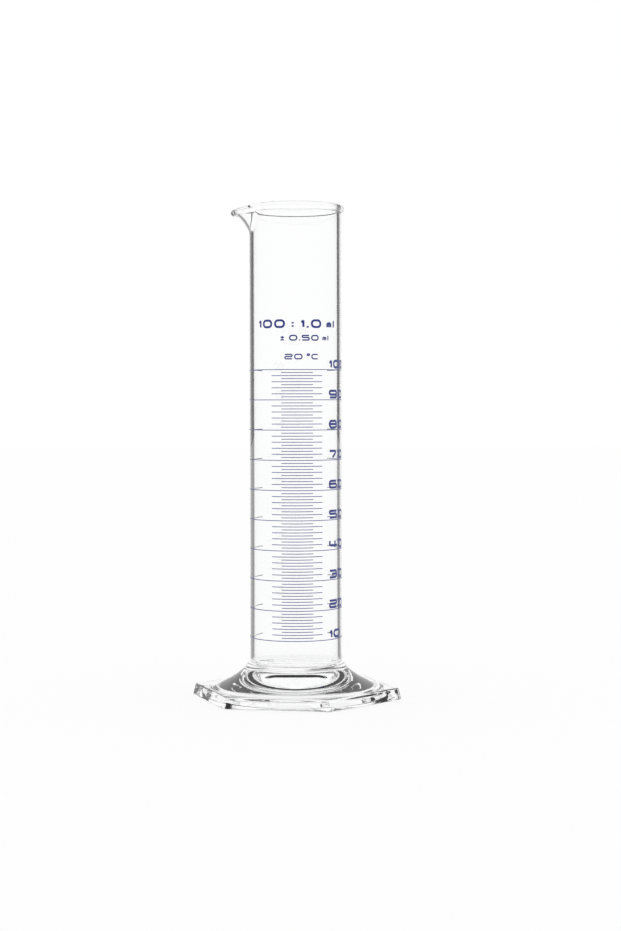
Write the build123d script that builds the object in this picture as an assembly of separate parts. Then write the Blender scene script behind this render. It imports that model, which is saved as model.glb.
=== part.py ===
from build123d import *
import os
from math import ceil, cos, pi, radians, sin, tan

# A 100 ml graduated cylinder. The glass is one piece: a tube with a rounded floor, a rolled rim
# that is pulled out into a pouring spout, and a hexagonal pressed foot, hollow underneath. The
# enamel lines of its scale are fired on the outside of the tube. The foot stands on z = 0, the
# tube's axis is Z, the spout points to -X and the scale faces -Y. Lengths are in millimetres,
# angles in degrees and volumes in millilitres.

# Tube
TUBE_DIAMETER = 36.2
WALL = 1.6
FLOOR_HEIGHT = 12.1  # inside floor above the table
FLOOR_CORNER = 3.5  # inside radius between the floor and the wall

# Rim and spout
HEADROOM = 64.9  # from the highest line to the top of the rim
RIM_BEAD = 3.2  # diameter of the fire-polished rim
RIM_OVERHANG = 1.1  # how far the rim stands out from the tube
RIM_SIDES = 12  # flats that stand for the round of the bead
SPOUT_REACH = 7.2  # how far the lip stands out from the tube
SPOUT_LIP = 2.4  # diameter of the rim at the spout's tip
SPOUT_DEPTH = 9.4  # from the middle of the rim down to where the spout starts
SPOUT_DROOP = 1.7  # how far the tip hangs below the rest of the rim
SPOUT_HALF_ANGLE = 42.0  # the part of the rim that is pulled out, to each side
SPOUT_ROOT_ANGLE = 26.0  # the same where the spout starts on the tube
SPOUT_OVERLAP = 0.4  # how deep the spout's form starts inside the face of the tube
SPOUT_CONE = 0.7  # share of the reach that a straight cone gives, the rest curls out at the lip

# Foot
FOOT_OVERHANG = 18.6  # from the tube to a flat of the hexagon
FOOT_EDGE = 4.5  # height of the hexagon's sides
FOOT_DRAFT = 12.0
FOOT_CORNER = 2.5  # radius of the hexagon's upright corners
FOOT_SOFTENING = 0.8  # radius along the top of the sides
FOOT_BASE_BEVEL = 0.4  # along the bottom of the sides
FOOT_TURN = -13.3  # direction of one corner from +X
FLARE_LEDGE = 2.2  # flat left between the flare and the hexagon's sides
FLARE_RISE = 9.7  # from the top of the sides to where the tube leaves the flare
FLARE_SHOULDER = 2.4  # how far the level shoulder at its top pulls the flare's curve out
FLARE_TOE_PULL = 18.0  # how far the gentle slope at its toe pulls the curve in
FLARE_TOE_SLOPE = 17.7
HOLLOW_RIM = 4.7  # width of the ring that the foot stands on, at a flat
HOLLOW_STEP = 2.2  # height of the steep wall round the hollow
HOLLOW_DRAFT = 25.0
HOLLOW_FLAT = 10.0  # radius of the level middle of the hollow
FLOOR_THICKNESS = 4.6  # glass between the inside floor and the hollow

# Scale
CAPACITY = 100  # the highest line
FIRST_LINE = 10  # the lowest line
LINE_WIDTH = 0.3
LINE_FLAT = 11.0  # most degrees that one flat of a line spans
ENAMEL_THICKNESS = 0.12
ENAMEL_SEAT = 0.02  # between the tube and the middle of each flat
LONG_LINE_STEP = 10
LONG_LINE_SPAN = 257.0
MIDDLE_LINE_STEP = 2
MIDDLE_LINE_SPAN = 65.4
SHORT_LINE_STEP = 1
SHORT_LINE_SPAN = 39.6

tube_radius = TUBE_DIAMETER / 2
bore_radius = tube_radius - WALL
bore_area = pi * bore_radius**2
corner_section = (1 - pi / 4) * FLOOR_CORNER**2
corner_loss = 2 * pi * (corner_section * (bore_radius - FLOOR_CORNER) + FLOOR_CORNER**3 / 6)


def line_height(volume):
    """Height to which a volume fills the tube, allowing for its rounded floor."""
    return FLOOR_HEIGHT + (1000 * volume + corner_loss) / bore_area


rim_height = line_height(CAPACITY) + HEADROOM - RIM_BEAD / 2
rim_radius = tube_radius + RIM_OVERHANG - RIM_BEAD / 2
tip_radius = tube_radius + SPOUT_REACH - SPOUT_LIP / 2
spout_root = rim_height - SPOUT_DEPTH

foot_flat = tube_radius + FOOT_OVERHANG
flare_radius = foot_flat - FLARE_LEDGE
flare_top = FOOT_EDGE + FLARE_RISE
hollow_radius = foot_flat - HOLLOW_RIM
hollow_top = FLOOR_HEIGHT - FLOOR_THICKNESS

spout_angles = [180 + SPOUT_HALF_ANGLE * step / 7 for step in range(-7, 8)]


def direction(angle):
    return Vector(cos(radians(angle)), sin(radians(angle)))


def hexagon():
    """The pressed plate of the foot, with drafted sides, softened above and bevelled below."""
    outline = RegularPolygon(radius=foot_flat, side_count=6, major_radius=False, rotation=FOOT_TURN)
    plate = extrude(outline, amount=FOOT_EDGE, taper=FOOT_DRAFT)
    top = plate.edges().group_by(Axis.Z)[-1]
    bottom = plate.edges().group_by(Axis.Z)[0]
    upright = plate.edges() - top - bottom
    plate = fillet(upright, FOOT_CORNER)
    plate = fillet(plate.edges().group_by(Axis.Z)[-1], FOOT_SOFTENING)
    return chamfer(plate.edges().group_by(Axis.Z)[0], FOOT_BASE_BEVEL)


def flare_and_tube():
    """The round body: the flare that rises from the hexagon and the tube up to the spout."""
    toe = Vector(flare_radius, FOOT_EDGE)
    neck = Vector(tube_radius, flare_top)
    shoulder = neck + Vector(FLARE_SHOULDER, 0)
    toe_pull = toe + direction(180 - FLARE_TOE_SLOPE) * FLARE_TOE_PULL
    flare = Bezier(neck, shoulder, toe_pull, toe)
    top = Vector(tube_radius, rim_height)
    side = Polyline(toe, (flare_radius, 0), (0, 0), (0, rim_height), top, neck)
    profile = make_face([flare] + side.edges())
    return revolve(Plane.XZ * profile, Axis.Z)


def bore():
    """The room inside the tube, with its rounded floor."""
    floor = (bore_radius, FLOOR_HEIGHT)
    corners = [(0, FLOOR_HEIGHT), floor, (bore_radius, rim_height), (0, rim_height)]
    profile = make_face(Polyline(*corners, close=True))
    corner = profile.vertices().sort_by_distance(floor)[0]
    return revolve(Plane.XZ * fillet(corner, FLOOR_CORNER), Axis.Z)


def hollow():
    """The hollow that the press leaves under the foot: a steep wall round a shallow cone."""
    step = (hollow_radius - HOLLOW_STEP * tan(radians(HOLLOW_DRAFT)), HOLLOW_STEP)
    middle = [(0, 0), (0, hollow_top), (HOLLOW_FLAT, hollow_top)]
    profile = make_face(Polyline(*middle, step, (hollow_radius, 0), close=True))
    return revolve(Plane.XZ * profile, Axis.Z)


def pulled_share(angle, half_angle):
    """How much of the spout's reach a direction gets: 1 at the tip, 0 outside the half angle."""
    offset = abs(angle - 180) / half_angle
    return cos(radians(90 * offset)) ** 3 if offset < 1 else 0.0


def upright(angle):
    """The upright plane through the tube's axis that looks out in this direction."""
    return Plane(origin=(0, 0, 0), x_dir=direction(angle), z_dir=direction(angle - 90))


def bead(angle):
    """Centre, in the upright plane, and radius of the rolled rim in this direction."""
    share = pulled_share(angle, SPOUT_HALF_ANGLE)
    centre = Vector(rim_radius + (tip_radius - rim_radius) * share, rim_height - SPOUT_DROOP * share)
    return centre, (RIM_BEAD + (SPOUT_LIP - RIM_BEAD) * share) / 2


def bead_section(angle):
    """Section of the rolled rim, with its round as flats."""
    centre, radius = bead(angle)
    turns = [360 * side / RIM_SIDES for side in range(RIM_SIDES)]
    corners = [centre + direction(turn) * radius for turn in turns]
    return upright(angle) * make_face(Polyline(*corners, close=True))


def rolled_rim():
    """The round bead of the rim, which thins and droops along the lip of the spout."""
    lip = loft([bead_section(angle) for angle in spout_angles])
    ring = revolve(bead_section(spout_angles[-1]), Axis.Z, 360 - 2 * SPOUT_HALF_ANGLE)
    return lip + ring


def spout_section(face_radius, angle, top_room):
    """Section of the spout as a filled form, out to the inner or outer face of its wall.

    The face starts just inside the same face of the tube and ends beside the middle of the bead.
    """
    centre, bead_radius = bead(angle)
    side = (face_radius - rim_radius) / (RIM_BEAD / 2)
    start = Vector(face_radius - SPOUT_OVERLAP, spout_root)
    end = centre + Vector(side * bead_radius, 0)
    full_reach = tip_radius + side * SPOUT_LIP / 2 - start.X
    face = []
    for rise in (0, 0.25, 0.5, 0.75, 1):
        half_angle = SPOUT_ROOT_ANGLE + (SPOUT_HALF_ANGLE - SPOUT_ROOT_ANGLE) * rise
        pull = (SPOUT_CONE * rise + (1 - SPOUT_CONE) * rise**5) * pulled_share(angle, half_angle)
        face.append(Vector(start.X + full_reach * pull, start.Y + (end.Y - start.Y) * rise))
    top = end.Y + top_room
    core = Polyline(face[-1], (face[-1].X, top), (SPOUT_OVERLAP, top), (SPOUT_OVERLAP, start.Y), start)
    return upright(angle) * make_face([Spline(*face)] + core.edges())


def spout_form(face_radius, top_room):
    """The spout as a filled form, lofted through sections on both sides of its tip."""
    return loft([spout_section(face_radius, angle, top_room) for angle in spout_angles])


def glass_body():
    outside = hexagon() + flare_and_tube() + spout_form(tube_radius, SPOUT_OVERLAP)
    inside = bore() + spout_form(bore_radius, RIM_BEAD)
    return outside - inside - hollow() + rolled_rim()


def scale_lines(volumes, span):
    """Enamel lines on the tube's outside at these volumes, centred on the front.

    Each goes round in short flats that lie on the tube, so that many lines take few faces.
    """
    flats = ceil(span / LINE_FLAT)
    turns = [-90 + span * (corner / flats - 0.5) for corner in range(flats + 1)]
    inner = (tube_radius + ENAMEL_SEAT) / cos(radians(span / flats / 2))
    outer = inner + ENAMEL_THICKNESS
    outline = [direction(turn) * inner for turn in turns]
    outline += [direction(turn) * outer for turn in reversed(turns)]
    line = extrude(make_face(Polyline(*outline, close=True)), amount=LINE_WIDTH)
    return Compound([Pos(0, 0, line_height(volume) - LINE_WIDTH / 2) * line for volume in volumes])


volumes = range(FIRST_LINE, CAPACITY + 1)
long_lines = [v for v in volumes if v % LONG_LINE_STEP == 0]
middle_lines = [v for v in volumes if v % MIDDLE_LINE_STEP == 0 and v not in long_lines]
short_lines = [v for v in volumes if v % SHORT_LINE_STEP == 0 and v not in long_lines + middle_lines]

parts = {
    "glass_body": glass_body(),
    "long_scale_lines": scale_lines(long_lines, LONG_LINE_SPAN),
    "middle_scale_lines": scale_lines(middle_lines, MIDDLE_LINE_SPAN),
    "short_scale_lines": scale_lines(short_lines, SHORT_LINE_SPAN),
}

os.makedirs("parts", exist_ok=True)
for name, shape in parts.items():
    shape.label = name
    export_step(shape, f"parts/{name}.step")
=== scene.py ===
from math import atan2, ceil, cos, pi, radians, sin, tan

import bpy
import numpy as np
from mathutils import Matrix, Vector


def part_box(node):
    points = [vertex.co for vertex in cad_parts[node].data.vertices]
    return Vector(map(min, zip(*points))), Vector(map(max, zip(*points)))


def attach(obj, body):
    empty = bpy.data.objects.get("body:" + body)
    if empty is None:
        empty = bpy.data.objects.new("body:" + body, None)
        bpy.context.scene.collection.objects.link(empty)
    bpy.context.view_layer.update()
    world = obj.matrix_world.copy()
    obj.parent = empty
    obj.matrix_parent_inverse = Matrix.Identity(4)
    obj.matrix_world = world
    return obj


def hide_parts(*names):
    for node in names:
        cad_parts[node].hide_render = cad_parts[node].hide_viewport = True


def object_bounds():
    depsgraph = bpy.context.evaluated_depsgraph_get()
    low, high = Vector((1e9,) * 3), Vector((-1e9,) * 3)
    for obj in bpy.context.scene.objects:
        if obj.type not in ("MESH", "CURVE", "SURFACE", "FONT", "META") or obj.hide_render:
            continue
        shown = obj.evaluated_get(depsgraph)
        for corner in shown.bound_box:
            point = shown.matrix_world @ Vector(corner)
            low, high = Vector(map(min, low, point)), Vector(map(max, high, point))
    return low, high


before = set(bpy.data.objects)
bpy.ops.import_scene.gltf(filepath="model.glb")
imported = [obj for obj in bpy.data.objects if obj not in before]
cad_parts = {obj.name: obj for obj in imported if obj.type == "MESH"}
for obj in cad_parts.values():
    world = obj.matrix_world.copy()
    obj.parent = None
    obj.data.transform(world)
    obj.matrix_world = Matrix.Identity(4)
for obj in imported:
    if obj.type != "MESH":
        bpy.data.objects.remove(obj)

# A 100 ml graduated cylinder in clear glass with a fired blue scale. The tube's axis is Z, the
# spout points to -X and the scale faces -Y. Lengths are in metres and angles in degrees.

cad_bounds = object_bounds()
MM = 0.001

# Glass, to the same sizes as the solid
TUBE_RADIUS = 18.1 * MM
BORE_RADIUS = 16.5 * MM
FLOOR_HEIGHT = 12.1 * MM
FLOOR_CORNER = 3.5 * MM
FLOOR_ROWS = 4 * MM, 8 * MM, 11 * MM, 12.6 * MM  # radii of the mesh's rows on the inside floor
RIM_BEAD = 3.2 * MM
RIM_RADIUS = 17.6 * MM  # of the middle of the bead
TIP_RADIUS = 24.1 * MM  # the same at the tip of the spout
SPOUT_LIP = 2.4 * MM
SPOUT_DEPTH = 9.4 * MM
SPOUT_DROOP = 1.7 * MM
SPOUT_HALF_ANGLE = 42.0
SPOUT_ROOT_ANGLE = 26.0
SPOUT_OVERLAP = 0.4 * MM
SPOUT_CONE = 0.7
SPOUT_CREASE = 0.35 * MM  # how softly the spout's wall comes out of the tube's, outside
SPOUT_FOLD = 1.8 * MM  # how much softer it is inside
FOOT_FLAT = 36.7 * MM
FOOT_EDGE = 4.5 * MM
FOOT_DRAFT = 12.0
FOOT_CORNER = 2.5 * MM
FOOT_SOFTENING = 0.8 * MM
FOOT_BASE_BEVEL = 0.4 * MM
FOOT_TURN = -13.3
FLARE_RADIUS = 34.5 * MM
FLARE_TOP = 14.2 * MM
FLARE_SHOULDER = 2.4 * MM
FLARE_TOE_PULL = 18.0 * MM
FLARE_TOE_SLOPE = 17.7
HOLLOW_RADIUS = 32.0 * MM
HOLLOW_STEP = 2.2 * MM
HOLLOW_DRAFT = 25.0
HOLLOW_FLAT = 10.0 * MM
HOLLOW_TOP = 7.5 * MM
HOLLOW_SOFTENING = 0.35 * MM, 0.9 * MM, 4 * MM  # cuts at its rim, its step and its middle
RING_ROW = 34 * MM  # where the mesh crosses the ring that the foot stands on
LAST_ROW = 3 * MM  # the last row of the mesh before the middle of the hollow
LONG_RUN = 6 * MM  # a longer run of the hollow gets rows of its own
RIM_HEIGHT = cad_bounds[1][2] - RIM_BEAD / 2
SPOUT_ROOT = RIM_HEIGHT - SPOUT_DEPTH
SPOUT_DIRECTION = 180.0
SPOUT_MARGIN = 0.3 * MM  # from the plain tube's last row to the root of the spout
ROW_MARGIN = 1 * MM  # the same from its first row to a bend
INTO_BEAD = 0.985  # how far up to the bead the rows of the wall go
WALL_ROWS = 9
SPOUT_ROWS = 26

# Scale
LINE_WIDTH = 0.3 * MM
PRINT_SUNK = 0.02 * MM  # fired enamel bonds to the glass, so no air shows between them
PRINT_PROUD = 0.03 * MM
SCALE_DIRECTION = -90.0
FIRST_LINE = 10
CAPACITY = 100
LINES = {
    "long_scale_lines": (257.0, lambda volume: volume % 10 == 0),
    "middle_scale_lines": (65.4, lambda volume: volume % 2 == 0 and volume % 10),
    "short_scale_lines": (39.6, lambda volume: volume % 2),
}
NUMERAL_HEIGHT = 3.5 * MM
NUMERAL_WIDE = 1.55  # width of a sign as a share of its height
NUMERAL_STROKE = 0.92 * MM
NUMERAL_GAP = 0.7 * MM
NUMERAL_START = 45.5  # to the right of the camera's direction
NUMERAL_LIFT = 0.45 * MM  # from the middle of a line to the foot of its number

# The print above the scale: its text, how far right of the scale's middle it is centred, the
# height of its foot, the height of its signs, their width as a share of that, and the stroke
PRINT_ROWS = [
    ("100 : 1.0 ml", 0.0, 145.3 * MM, 3.4 * MM, 1.32, 0.85 * MM),
    ("± 0.50 ml", 3.4 * MM, 140.4 * MM, 2.3 * MM, 1.4, 0.55 * MM),
    ("20 °C", 1.8 * MM, 133.2 * MM, 2.2 * MM, 1.5, 0.5 * MM),
]
WORD_SPACE = 0.5  # as a share of the signs' height
BEND_STEP = 0.5 * MM  # longest straight run of a sign round the tube
LINE_STEP = 0.6 * MM  # the same of a line

# Materials
GLASS_TINT = 0.995, 0.998, 0.997, 1
GLASS_IOR = 1.473
GLASS_STREAKS = 0.012  # roughness of the drawn tube's streaks
PRESS_WAVES = 0.05 * MM  # height of the waves that the press leaves in the foot
ENAMEL_GRAIN = 0.01 * MM
BLUE = (0.008, 0.02, 0.17), (0.012, 0.03, 0.26)  # deep, and where the print is thin
THIN_BLUE = (0.08, 0.09, 0.25), (0.15, 0.16, 0.38)

# Camera
CAMERA_DIRECTION = -92.0
CAMERA_DISTANCE = 768.85 * MM
CAMERA_HEIGHT = 117.75 * MM
CAMERA_DOWN = 1.942
CAMERA_RIGHT = 0.436
CAMERA_ROLL = -0.107
PHOTO_HEIGHT = 931
FOCAL_PIXELS = 1946.0
SENSOR = 36.0

scale_low, scale_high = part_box("long_scale_lines")
first_height = scale_low[2] + LINE_WIDTH / 2
last_height = scale_high[2] - LINE_WIDTH / 2


def line_height(volume):
    share = (volume - FIRST_LINE) / (CAPACITY - FIRST_LINE)
    return first_height + (last_height - first_height) * share


def make_camera():
    """The camera, where the fitted view of the photograph puts it."""
    data = bpy.data.cameras.new("camera")
    data.sensor_width = SENSOR
    data.lens = SENSOR * FOCAL_PIXELS / PHOTO_HEIGHT
    data.clip_start = 10 * MM
    camera = bpy.data.objects.new("camera", data)
    bpy.context.scene.collection.objects.link(camera)
    stand = radians(CAMERA_DIRECTION)
    look = radians(CAMERA_DIRECTION + 180 - CAMERA_RIGHT)
    down = radians(-CAMERA_DOWN)
    roll = radians(CAMERA_ROLL)
    forward = Vector((cos(down) * cos(look), cos(down) * sin(look), sin(down)))
    right = Vector((sin(look), -cos(look), 0))
    up = right.cross(forward)
    right, up = right * cos(roll) + up * sin(roll), up * cos(roll) - right * sin(roll)
    place = Vector((CAMERA_DISTANCE * cos(stand), CAMERA_DISTANCE * sin(stand), CAMERA_HEIGHT))
    turn = Matrix((right, up, -forward)).transposed().to_4x4()
    camera.matrix_world = Matrix.Translation(place) @ turn
    bpy.context.scene.camera = camera


def new_piece(name, vertices, faces, material, smooth=True):
    mesh = bpy.data.meshes.new(name)
    mesh.from_pydata([tuple(v) for v in vertices], [], [tuple(f) for f in faces])
    mesh.validate()
    for polygon in mesh.polygons:
        polygon.use_smooth = smooth
    piece = bpy.data.objects.new(name, mesh)
    bpy.context.scene.collection.objects.link(piece)
    piece.data.materials.append(material)
    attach(piece, "root")
    return piece


# Materials

def new_material(name):
    material = bpy.data.materials.new(name)
    material.use_nodes = True
    nodes = material.node_tree.nodes
    return material, nodes, material.node_tree.links, nodes["Principled BSDF"]


def noise(nodes, links, scale, detail=3.0, stretch=(1, 1, 1)):
    """A noise texture in the object's own space."""
    place = nodes.new("ShaderNodeTexCoord")
    mapping = nodes.new("ShaderNodeMapping")
    mapping.inputs["Scale"].default_value = stretch
    texture = nodes.new("ShaderNodeTexNoise")
    texture.inputs["Scale"].default_value = scale
    texture.inputs["Detail"].default_value = detail
    links.new(place.outputs["Object"], mapping.inputs["Vector"])
    links.new(mapping.outputs["Vector"], texture.inputs["Vector"])
    return texture.outputs["Fac"]


def between(nodes, links, value, low, high, start=0.0, end=1.0):
    """The value, moved from the range start..end to low..high."""
    node = nodes.new("ShaderNodeMapRange")
    node.inputs["From Min"].default_value = start
    node.inputs["From Max"].default_value = end
    node.inputs["To Min"].default_value = low
    node.inputs["To Max"].default_value = high
    links.new(value, node.inputs["Value"])
    return node.outputs["Result"]


def math_node(nodes, links, operation, first, second):
    node = nodes.new("ShaderNodeMath")
    node.operation = operation
    for socket, value in zip(node.inputs, (first, second)):
        if isinstance(value, (int, float)):
            socket.default_value = value
        else:
            links.new(value, socket)
    return node.outputs["Value"]


def glass_material():
    """Clear glass: drawn smooth in the tube, with the faint waves of a pressed foot."""
    material, nodes, links, shader = new_material("clear_glass")
    shader.inputs["Base Color"].default_value = GLASS_TINT
    shader.inputs["Transmission Weight"].default_value = 1.0
    shader.inputs["IOR"].default_value = GLASS_IOR
    streaks = noise(nodes, links, 120, 2, (1, 1, 0.04))
    roughness = between(nodes, links, streaks, 0.0, GLASS_STREAKS, 0.35, 0.8)
    links.new(roughness, shader.inputs["Roughness"])
    place = nodes.new("ShaderNodeTexCoord")
    axes = nodes.new("ShaderNodeSeparateXYZ")
    links.new(place.outputs["Object"], axes.inputs["Vector"])
    pressed = between(nodes, links, axes.outputs["Z"], 1.0, 0.0, FOOT_EDGE, FLARE_TOP)
    waves = math_node(nodes, links, "MULTIPLY", noise(nodes, links, 260, 2), pressed)
    bump = nodes.new("ShaderNodeBump")
    bump.inputs["Distance"].default_value = PRESS_WAVES
    bump.inputs["Strength"].default_value = 0.35
    links.new(waves, bump.inputs["Height"])
    links.new(bump.outputs["Normal"], shader.inputs["Normal"])
    return material


def enamel_material(name, colour, thin):
    """Fired enamel: deep blue, a little uneven where the print is thin."""
    material, nodes, links, shader = new_material(name)
    mix = nodes.new("ShaderNodeMix")
    mix.data_type = "RGBA"
    mix.inputs["A"].default_value = (*colour, 1)
    mix.inputs["B"].default_value = (*thin, 1)
    patches = noise(nodes, links, 900, 4)
    links.new(between(nodes, links, patches, 0.0, 1.0, 0.42, 0.72), mix.inputs["Factor"])
    links.new(mix.outputs["Result"], shader.inputs["Base Color"])
    grain = noise(nodes, links, 4000, 2)
    links.new(between(nodes, links, grain, 0.28, 0.5), shader.inputs["Roughness"])
    bump = nodes.new("ShaderNodeBump")
    bump.inputs["Distance"].default_value = ENAMEL_GRAIN
    bump.inputs["Strength"].default_value = 0.4
    links.new(grain, bump.inputs["Height"])
    links.new(bump.outputs["Normal"], shader.inputs["Normal"])
    return material


# Glass body

def column_directions():
    """Directions of the mesh's columns, closest together at the corners of the foot."""
    steps = 36
    gather = 1.6
    half = [30 * (step / steps) ** gather for step in range(steps)]
    sector = half + [60 - turn for turn in [30] + half[:0:-1]]
    return np.array([FOOT_TURN + 60 * side + turn for side in range(6) for turn in sector])


turns = column_directions()
from_spout = np.abs((turns - SPOUT_DIRECTION + 180) % 360 - 180)


def hexagon(flat, corner):
    """Distance from the axis to a hexagon with round corners, in each column's direction."""
    tilt = radians(30)
    offset = np.radians(np.abs((turns - FOOT_TURN + 30) % 60 - 30))
    corner_middle = (flat - corner) / cos(tilt)
    touch = atan2(corner * sin(tilt), corner_middle + corner * cos(tilt))
    across = np.sqrt(np.maximum(corner**2 - (corner_middle * np.sin(offset)) ** 2, 0))
    round_part = corner_middle * np.cos(offset) + across
    flat_part = flat / np.cos(tilt - offset)
    return np.where(offset < touch, round_part, flat_part)


def pulled_share(half_angle):
    """How much of the spout's reach each column gets: 1 at the tip, 0 outside the half angle."""
    offset = np.minimum(from_spout / half_angle, 1)
    return np.cos(np.radians(90 * offset)) ** 3


rim_share = pulled_share(SPOUT_HALF_ANGLE)
bead_middle = RIM_RADIUS + (TIP_RADIUS - RIM_RADIUS) * rim_share
bead_height = RIM_HEIGHT - SPOUT_DROOP * rim_share
bead_radius = (RIM_BEAD + (SPOUT_LIP - RIM_BEAD) * rim_share) / 2


def soft_larger(first, second, blend):
    """The larger of two values, with a small fillet where they cross."""
    near = np.maximum(blend - np.abs(first - second), 0) / blend
    return np.maximum(first, second) + near**2 * blend / 4


def spout_wall(face, rise):
    """Radius and height of the wall's face at this share of the way up the spout."""
    side = (face - RIM_RADIUS) / (RIM_BEAD / 2)
    start = face - SPOUT_OVERLAP
    reach = TIP_RADIUS + side * SPOUT_LIP / 2 - start
    half_angle = SPOUT_ROOT_ANGLE + (SPOUT_HALF_ANGLE - SPOUT_ROOT_ANGLE) * rise
    share = pulled_share(half_angle)
    pull = (SPOUT_CONE * rise + (1 - SPOUT_CONE) * rise**5) * share
    fold = SPOUT_FOLD if face < RIM_RADIUS else 0
    blend = SPOUT_CREASE + fold * np.sqrt(share * np.minimum(2 * rise, 1))
    radius = soft_larger(np.full_like(turns, face), start + reach * pull, blend)
    return radius, SPOUT_ROOT + (bead_height - SPOUT_ROOT) * rise


def meeting(face):
    """Where the wall's face runs into the bead: share of the way up, and place on the bead."""
    low = np.zeros_like(turns)
    high = np.ones_like(turns)
    for _ in range(30):
        middle = (low + high) / 2
        radius, height = spout_wall(face, middle)
        outside = np.hypot(radius - bead_middle, height - bead_height) > bead_radius
        low = np.where(outside, middle, low)
        high = np.where(outside, high, middle)
    radius, height = spout_wall(face, low)
    return low, np.degrees(np.arctan2(height - bead_height, radius - bead_middle))


def arc(middle, height, radius, start, end, steps):
    for step in range(steps + 1):
        angle = radians(start + (end - start) * step / steps)
        yield middle + radius * cos(angle), height + radius * sin(angle)


def softened(points, cuts, steps=5):
    """A broken line with its inner corners rounded off, each by its own cut."""
    yield points[0]
    for before, corner, after, cut in zip(points, points[1:], points[2:], cuts):
        corner = Vector(corner)
        start = corner + (Vector(before) - corner).normalized() * cut
        end = corner + (Vector(after) - corner).normalized() * cut
        for step in range(steps + 1):
            t = step / steps
            yield tuple(start * (1 - t) ** 2 + corner * 2 * t * (1 - t) + end * t**2)
    yield points[-1]


def inside_rows():
    """From the middle of the inside floor up the bore to the bead."""
    for radius in FLOOR_ROWS:
        yield radius, FLOOR_HEIGHT
    corner = BORE_RADIUS - FLOOR_CORNER
    yield from arc(corner, FLOOR_HEIGHT + FLOOR_CORNER, FLOOR_CORNER, -90, 0, 9)
    bend = FLOOR_HEIGHT + FLOOR_CORNER
    for height in np.linspace(bend + ROW_MARGIN, SPOUT_ROOT - SPOUT_MARGIN, WALL_ROWS):
        yield BORE_RADIUS, height
    top, _ = meeting(BORE_RADIUS)
    for share in np.linspace(0, INTO_BEAD, SPOUT_ROWS):
        yield spout_wall(BORE_RADIUS, top * share)


def bead_rows():
    """Over the bead, from the bore to the outside."""
    _, outer = meeting(TUBE_RADIUS)
    _, inner = meeting(BORE_RADIUS)
    inner = inner % 360
    for share in np.linspace(0, 1, 25):
        angle = np.radians(inner + (outer - inner) * share)
        yield bead_middle + bead_radius * np.cos(angle), bead_height + bead_radius * np.sin(angle)


def outside_rows():
    """Down the outside, over the flare and the foot's plate, to the ring that it stands on."""
    top, _ = meeting(TUBE_RADIUS)
    for share in np.linspace(INTO_BEAD, 0, SPOUT_ROWS):
        yield spout_wall(TUBE_RADIUS, top * share)
    for height in np.linspace(SPOUT_ROOT - SPOUT_MARGIN, FLARE_TOP + ROW_MARGIN, WALL_ROWS):
        yield TUBE_RADIUS, height
    yield TUBE_RADIUS, FLARE_TOP + 0.25 * MM
    slope = radians(180 - FLARE_TOE_SLOPE)
    toe = np.array((FLARE_RADIUS, FOOT_EDGE))
    controls = [
        np.array((TUBE_RADIUS, FLARE_TOP)),
        np.array((TUBE_RADIUS + FLARE_SHOULDER, FLARE_TOP)),
        toe + FLARE_TOE_PULL * np.array((cos(slope), sin(slope))),
        toe,
    ]
    for t in np.linspace(0.03, 1, 32) ** 1.2:
        weights = ((1 - t) ** 3, 3 * t * (1 - t) ** 2, 3 * t**2 * (1 - t), t**3)
        yield tuple(sum(weight * point for weight, point in zip(weights, controls)))
    yield from plate_rows()


def plate_rows():
    """Over the ledge, the soft edge and the drafted side of the hexagon."""
    draft = radians(FOOT_DRAFT)
    touch_height = FOOT_EDGE - FOOT_SOFTENING + FOOT_SOFTENING * sin(draft)
    touch_flat = FOOT_FLAT - touch_height * tan(draft)
    edge_flat = touch_flat - FOOT_SOFTENING * cos(draft)
    ledge = hexagon(edge_flat, FOOT_CORNER - touch_flat + edge_flat)
    for share in (0.12, 0.4, 0.8):
        yield FLARE_RADIUS + (ledge - FLARE_RADIUS) * share, FOOT_EDGE
    for flat, height in arc(edge_flat, FOOT_EDGE - FOOT_SOFTENING, FOOT_SOFTENING, 90, FOOT_DRAFT, 6):
        yield hexagon(flat, FOOT_CORNER - touch_flat + flat), height
    for height in (touch_height - 0.3 * MM, FOOT_EDGE / 2, 1.0 * MM, 0.6 * MM):
        yield hexagon(FOOT_FLAT - height * tan(draft), FOOT_CORNER), height
    side = (FOOT_FLAT - 1 * MM * tan(draft), 1 * MM)
    base = [side, (FOOT_FLAT, 0), (FOOT_FLAT - 2 * MM, 0)]
    for flat, height in list(softened(base, [FOOT_BASE_BEVEL]))[1:-1]:
        yield hexagon(flat, FOOT_CORNER), height


def hollow_rows():
    """Along the ring that the foot stands on and up into the hollow to its middle."""
    step = HOLLOW_RADIUS - HOLLOW_STEP * tan(radians(HOLLOW_DRAFT))
    step_foot = [(RING_ROW, 0), (HOLLOW_RADIUS, 0), (step, HOLLOW_STEP)]
    points = step_foot + [(HOLLOW_FLAT, HOLLOW_TOP), (0, HOLLOW_TOP)]
    profile = list(softened(points, HOLLOW_SOFTENING, 6))[:-1]
    following = profile[1:] + [(LAST_ROW, HOLLOW_TOP)]
    for (radius, height), (next_radius, next_height) in zip(profile, following):
        yield radius, height
        if radius - next_radius > LONG_RUN:
            for share in (0.1, 0.5, 0.9):
                yield radius + (next_radius - radius) * share, height + (next_height - height) * share


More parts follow.
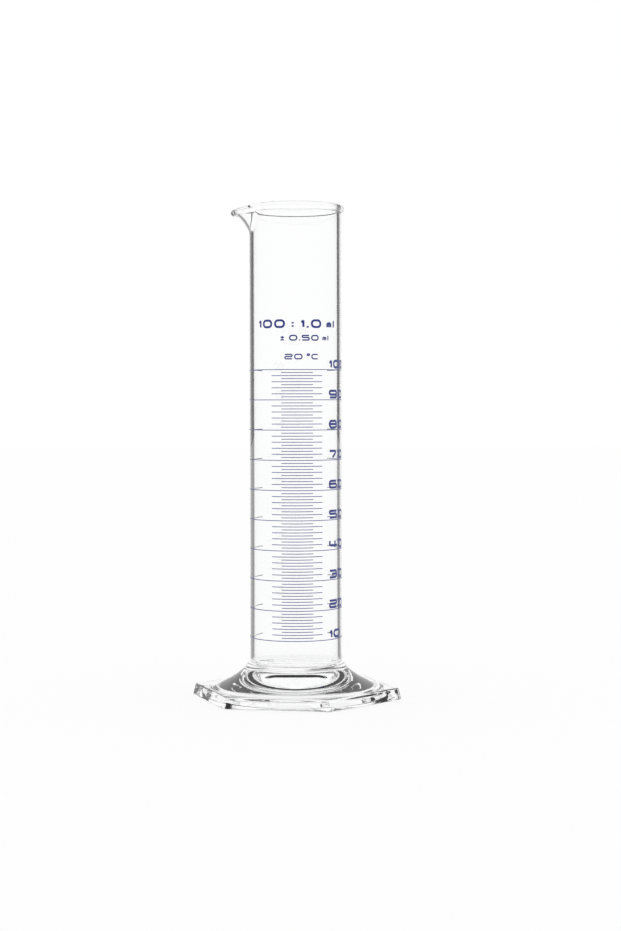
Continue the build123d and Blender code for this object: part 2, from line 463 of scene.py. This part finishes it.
def glass_body(material):
    """One closed skin: up the bore, over the rim, down the outside and into the hollow."""
    rows = list(inside_rows()) + list(bead_rows()) + list(outside_rows()) + list(hollow_rows())
    count = len(turns)
    angles = np.radians(turns)
    points = [np.array([[0, 0, FLOOR_HEIGHT]])]
    for radius, height in rows:
        radius = np.broadcast_to(radius, count)
        height = np.broadcast_to(height, count)
        points.append(np.column_stack((radius * np.cos(angles), radius * np.sin(angles), height)))
    points.append(np.array([[0, 0, HOLLOW_TOP]]))
    vertices = np.vstack(points)
    this = np.arange(count)
    after = (this + 1) % count
    faces = [np.column_stack((np.zeros(count, int), 1 + this, 1 + after))]
    last = 1 + count * (len(rows) - 1)
    end = np.full(count, len(vertices) - 1)
    faces.append(np.column_stack((end, last + after, last + this)))
    quads = []
    for row in range(len(rows) - 1):
        low = 1 + count * row
        quads.append(np.column_stack((low + this, low + count + this, low + count + after, low + after)))
    all_faces = faces[0].tolist() + np.vstack(quads).tolist() + faces[1].tolist()
    piece = new_piece("clear_glass_body", vertices.tolist(), all_faces, material)
    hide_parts("glass_body")


# Enamel print

def ribbon(path, width, closed, vertices, faces):
    """Add one stroke, which follows the tube: a band with an outer and an inner face."""
    count = len(path)
    first = len(vertices)
    for index in range(count):
        before = path[index - 1] if closed or index > 0 else path[index]
        after = path[(index + 1) % count] if closed or index < count - 1 else path[index]
        here = Vector(path[index])
        back = (here - Vector(before)).normalized()
        on = (Vector(after) - here).normalized()
        if back.length == 0:
            back = on
        if on.length == 0:
            on = back
        along = (back + on).normalized()
        side = Vector((-along.y, along.x))
        reach = width / 2 / max(side.dot(Vector((-on.y, on.x))), 0.5)
        for radius, sign in (
            (TUBE_RADIUS + PRINT_PROUD, 1),
            (TUBE_RADIUS + PRINT_PROUD, -1),
            (TUBE_RADIUS - PRINT_SUNK, -1),
            (TUBE_RADIUS - PRINT_SUNK, 1),
        ):
            place = here + side * reach * sign
            turn = radians(SCALE_DIRECTION) + place.x / TUBE_RADIUS
            vertices.append((radius * cos(turn), radius * sin(turn), place.y))
    spans = count if closed else count - 1
    for index in range(spans):
        a = first + 4 * index
        b = first + 4 * ((index + 1) % count)
        for corner in range(4):
            after = (corner + 1) % 4
            faces.append((a + corner, a + after, b + after, b + corner))
    if not closed:
        faces.append(tuple(first + corner for corner in (3, 2, 1, 0)))
        faces.append(tuple(first + 4 * (count - 1) + corner for corner in range(4)))


def finely(path, longest, closed=False):
    """The path with its long runs divided, so that it can bend round the tube."""
    points = [Vector(point) for point in path]
    result = []
    ends = points[1:] + points[:1] if closed else points[1:]
    for start, end in zip(points, ends):
        parts = max(1, ceil((end - start).length / longest))
        result += [tuple(start.lerp(end, part / parts)) for part in range(parts)]
    if not closed:
        result.append(tuple(points[-1]))
    return result


def scale_lines(node, material):
    """The lines of one length, each a band of enamel round the tube."""
    span, is_marked = LINES[node]
    half = radians(span / 2) * TUBE_RADIUS
    vertices = []
    faces = []
    for volume in range(FIRST_LINE, CAPACITY + 1):
        if is_marked(volume):
            height = line_height(volume)
            path = finely([(-half, height), (half, height)], LINE_STEP)
            ribbon(path, LINE_WIDTH, False, vertices, faces)
    name = node.replace("scale_lines", "enamel_lines")
    piece = new_piece(name, vertices, faces, material, False)
    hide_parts(node)


# Each sign: its width, and its strokes as corners on a grid of width by height, with the
# rounding of the corners. A stroke whose last corner is its first is closed.
ROUND = 0.34
SIGNS = {
    "0": (1.0, [([(0, 0), (1, 0), (1, 1), (0, 1), (0, 0)], ROUND)]),
    "1": (0.36, [([(0, 0.66), (1, 1)], 0), ([(1, 1), (1, 0)], 0)]),
    "2": (1.0, [([(0, 0.94), (0.05, 1), (1, 1), (1, 0.52), (0, 0.52), (0, 0), (1, 0)], 0.22)]),
    "3": (1.0, [([(0, 1), (1, 1), (1, 0), (0, 0)], ROUND), ([(0.3, 0.52), (1, 0.52)], 0)]),
    "4": (1.0, [([(0, 1), (0, 0.32), (1.1, 0.32)], 0.22), ([(0.74, 1), (0.74, 0)], 0)]),
    "5": (1.0, [([(1, 1), (0, 1), (0, 0.56), (1, 0.56), (1, 0), (0, 0)], 0.2)]),
    "6": (1.0, [([(0.95, 1), (0, 1), (0, 0), (1, 0), (1, 0.56), (0.05, 0.56)], 0.24)]),
    "7": (1.0, [([(0, 1), (1, 1), (0.4, 0)], 0.12)]),
    "8": (1.0, [([(0, 0), (1, 0), (1, 1), (0, 1), (0, 0)], ROUND), ([(0.06, 0.52), (0.94, 0.52)], 0)]),
    "9": (1.0, [([(0.05, 0), (1, 0), (1, 1), (0, 1), (0, 0.44), (0.95, 0.44)], 0.24)]),
    ":": (0.0, [([(0, 0.02), (0, 0.26)], 0), ([(0, 0.5), (0, 0.74)], 0)]),
    ".": (0.0, [([(0, -0.12), (0, 0.14)], 0)]),
    "m": (0.62, [([(0, 0), (0, 0.6), (1, 0.6), (1, 0)], 0.16), ([(0.5, 0.6), (0.5, 0)], 0)]),
    "l": (0.0, [([(0, 0), (0, 1)], 0)]),
    "C": (0.9, [([(1, 1), (0, 1), (0, 0), (1, 0)], ROUND)]),
    "°": (0.42, [([(0, 0.75), (1, 0.75), (1, 1.1), (0, 1.1), (0, 0.75)], 0.14)]),
    "±": (0.6, [([(0, 0.6), (1, 0.6)], 0), ([(0.5, 0.9), (0.5, 0.3)], 0), ([(0, 0.05), (1, 0.05)], 0)]),
}


def rounded(corners, radius, steps=6):
    """Corners joined by straight runs, with a round of this radius at each inner corner."""
    closed = corners[0] == corners[-1]
    points = [Vector(corner) for corner in (corners[:-1] if closed else corners)]
    result = []
    for index, corner in enumerate(points):
        if not closed and index in (0, len(points) - 1) or radius == 0:
            result.append(tuple(corner))
            continue
        before = points[index - 1] - corner
        after = points[(index + 1) % len(points)] - corner
        half = before.angle(after) / 2
        cut = min(radius / tan(half), before.length / 2, after.length / 2)
        start = corner + before.normalized() * cut
        end = corner + after.normalized() * cut
        bend = cut * tan(half)
        middle = corner + (before.normalized() + after.normalized()).normalized() * (bend / sin(half))
        for step in range(steps + 1):
            place = start.lerp(end, step / steps) - middle
            result.append(tuple(middle + place.normalized() * bend))
    return result, closed


def write(text, left, foot, height, wide, stroke, gap, vertices, faces):
    """Write the signs from the left, and return where the last one ends."""
    for sign in text:
        if sign == " ":
            left += height * WORD_SPACE
            continue
        width, strokes = SIGNS[sign]
        box = width * wide * height - stroke if width else 0
        inner = height - stroke
        for corners, radius in strokes:
            placed = [(left + stroke / 2 + x * box, foot + stroke / 2 + y * inner) for x, y in corners]
            path, closed = rounded(placed, radius * height)
            ribbon(finely(path, BEND_STEP, closed), stroke, closed, vertices, faces)
        left += box + stroke + gap
    return left - gap


def scale_numbers(material):
    """The plain numbers of the scale, each just above the right part of its long line."""
    vertices = []
    faces = []
    offset = CAMERA_DIRECTION - SCALE_DIRECTION + NUMERAL_START
    left = radians(offset) * TUBE_RADIUS
    for volume in range(FIRST_LINE, CAPACITY + 1, 10):
        foot = line_height(volume) + NUMERAL_LIFT
        sizes = NUMERAL_HEIGHT, NUMERAL_WIDE, NUMERAL_STROKE, NUMERAL_GAP
        write(str(volume), left, foot, *sizes, vertices, faces)
    new_piece("scale_numbers", vertices, faces, material, False)


def plain_print(material):
    """The plain facts of the scale above it: its range and step, its tolerance and temperature."""
    vertices = []
    faces = []
    for text, middle, foot, height, wide, stroke in PRINT_ROWS:
        end = write(text, 0, foot, height, wide, stroke, stroke, [], [])
        write(text, middle - end / 2, foot, height, wide, stroke, stroke, vertices, faces)
    new_piece("plain_print", vertices, faces, material, False)


# Stage

# What light that the glass mirrored on its inside finds at the horizon, as direction and level: a
# white backdrop behind the object, with a dark gap on each side of it
ROOM_TONES = [
    (-180, 0.7), (-110, 0.75), (-60, 0.7), (0, 0.7), (40, 0.6), (46, 0.02), (62, 0.0), (70, 0.85),
    (93, 0.9), (99, 0.05), (130, 0.02), (136, 0.6), (180, 0.7),
]
WHITE_ABOVE = 0.11, 0.17  # sine of the height over the horizon at which the room turns white
WHITE_TABLE = 45 * MM, 110 * MM  # distance from the axis over which the floor stops being white
FLOOR_GLOW = 0.8  # share of the floor that is lit from within
FLOOR_HALF = 4.0
FLOOR_DROP = 0.1 * MM  # so that the foot's underside and the floor don't share a plane


def room_level(nodes, links, dim):
    """1, but the dim level for light that the glass mirrored on its inside and let straight out."""
    rays = nodes.new("ShaderNodeLightPath")
    mirrored = math_node(nodes, links, "GREATER_THAN", rays.outputs["Glossy Depth"], 0.5)
    entered = math_node(nodes, links, "COMPARE", rays.outputs["Transmission Depth"], 1.5)
    entered.node.inputs[2].default_value = 0.6  # so 1 or 2 faces passed
    clear = math_node(nodes, links, "LESS_THAN", rays.outputs["Diffuse Depth"], 0.5)
    inside = math_node(nodes, links, "MULTIPLY", mirrored, entered)
    inside = math_node(nodes, links, "MULTIPLY", inside, clear)
    loss = math_node(nodes, links, "SUBTRACT", 1, dim)
    loss = math_node(nodes, links, "MULTIPLY", loss, inside)
    return math_node(nodes, links, "SUBTRACT", 1, loss)


def room_tone(nodes, links, axes):
    """The level that ROOM_TONES gives in this direction."""
    turn = math_node(nodes, links, "ARCTAN2", axes.outputs["Y"], axes.outputs["X"])
    ramp = nodes.new("ShaderNodeValToRGB")
    stops = ramp.color_ramp.elements
    for direction, level in ROOM_TONES[1:-1]:
        stops.new((direction + 180) / 360)
    for stop, (direction, level) in zip(stops, ROOM_TONES):
        stop.position = (direction + 180) / 360
        stop.color = (level, level, level, 1)
    links.new(between(nodes, links, turn, 0, 1, -pi, pi), ramp.inputs["Fac"])
    return ramp.outputs["Color"]


def lighter(nodes, links, tone, share):
    """The tone, raised to white by this share."""
    rest = math_node(nodes, links, "SUBTRACT", 1, tone)
    gain = math_node(nodes, links, "MULTIPLY", rest, share)
    return math_node(nodes, links, "ADD", tone, gain)


def white_room():
    """A white world. What the glass mirrors on its inside is dimmer, as round a lit backdrop."""
    world = bpy.data.worlds.new("studio")
    bpy.context.scene.world = world
    world.use_nodes = True
    nodes = world.node_tree.nodes
    links = world.node_tree.links
    background = nodes["Background"]
    background.inputs["Color"].default_value = (1, 1, 1, 1)
    place = nodes.new("ShaderNodeTexCoord")
    axes = nodes.new("ShaderNodeSeparateXYZ")
    links.new(place.outputs["Generated"], axes.inputs["Vector"])
    ceiling = between(nodes, links, axes.outputs["Z"], 0, 1, *WHITE_ABOVE)
    tone = lighter(nodes, links, room_tone(nodes, links, axes), ceiling)
    links.new(room_level(nodes, links, tone), background.inputs["Strength"])


def floor_material():
    """White, mostly lit from within so that it stays white, with a faint true shadow."""
    material, nodes, links, shader = new_material("white_floor")
    shader.inputs["Base Color"].default_value = (0.95, 0.95, 0.95, 1)
    shader.inputs["Roughness"].default_value = 0.9
    shader.inputs["Specular IOR Level"].default_value = 0.0
    glow = nodes.new("ShaderNodeEmission")
    place = nodes.new("ShaderNodeTexCoord")
    axes = nodes.new("ShaderNodeSeparateXYZ")
    distance = nodes.new("ShaderNodeVectorMath")
    distance.operation = "LENGTH"
    links.new(place.outputs["Object"], distance.inputs[0])
    links.new(place.outputs["Object"], axes.inputs["Vector"])
    table = between(nodes, links, distance.outputs["Value"], 1, 0, *WHITE_TABLE)
    tone = lighter(nodes, links, room_tone(nodes, links, axes), table)
    links.new(room_level(nodes, links, tone), glow.inputs["Strength"])
    mix = nodes.new("ShaderNodeMixShader")
    mix.inputs["Fac"].default_value = FLOOR_GLOW
    links.new(shader.outputs["BSDF"], mix.inputs[1])
    links.new(glow.outputs["Emission"], mix.inputs[2])
    links.new(mix.outputs["Shader"], nodes["Material Output"].inputs["Surface"])
    return material


def white_floor():
    half = FLOOR_HALF
    corners = [(x, y, -FLOOR_DROP) for x, y in ((-half, -half), (half, -half), (half, half), (-half, half))]
    mesh = bpy.data.meshes.new("floor")
    mesh.from_pydata(corners, [], [(0, 1, 2, 3)])
    floor = bpy.data.objects.new("floor", mesh)
    bpy.context.scene.collection.objects.link(floor)
    floor.data.materials.append(floor_material())


make_camera()
bpy.context.scene.view_settings.view_transform = "Standard"
glass = glass_material()
enamel = enamel_material("blue_enamel", *BLUE)
fine_enamel = enamel_material("thin_blue_enamel", *THIN_BLUE)
glass_body(glass)
for node in LINES:
    scale_lines(node, fine_enamel)
scale_numbers(enamel)
plain_print(enamel)
white_room()
white_floor()
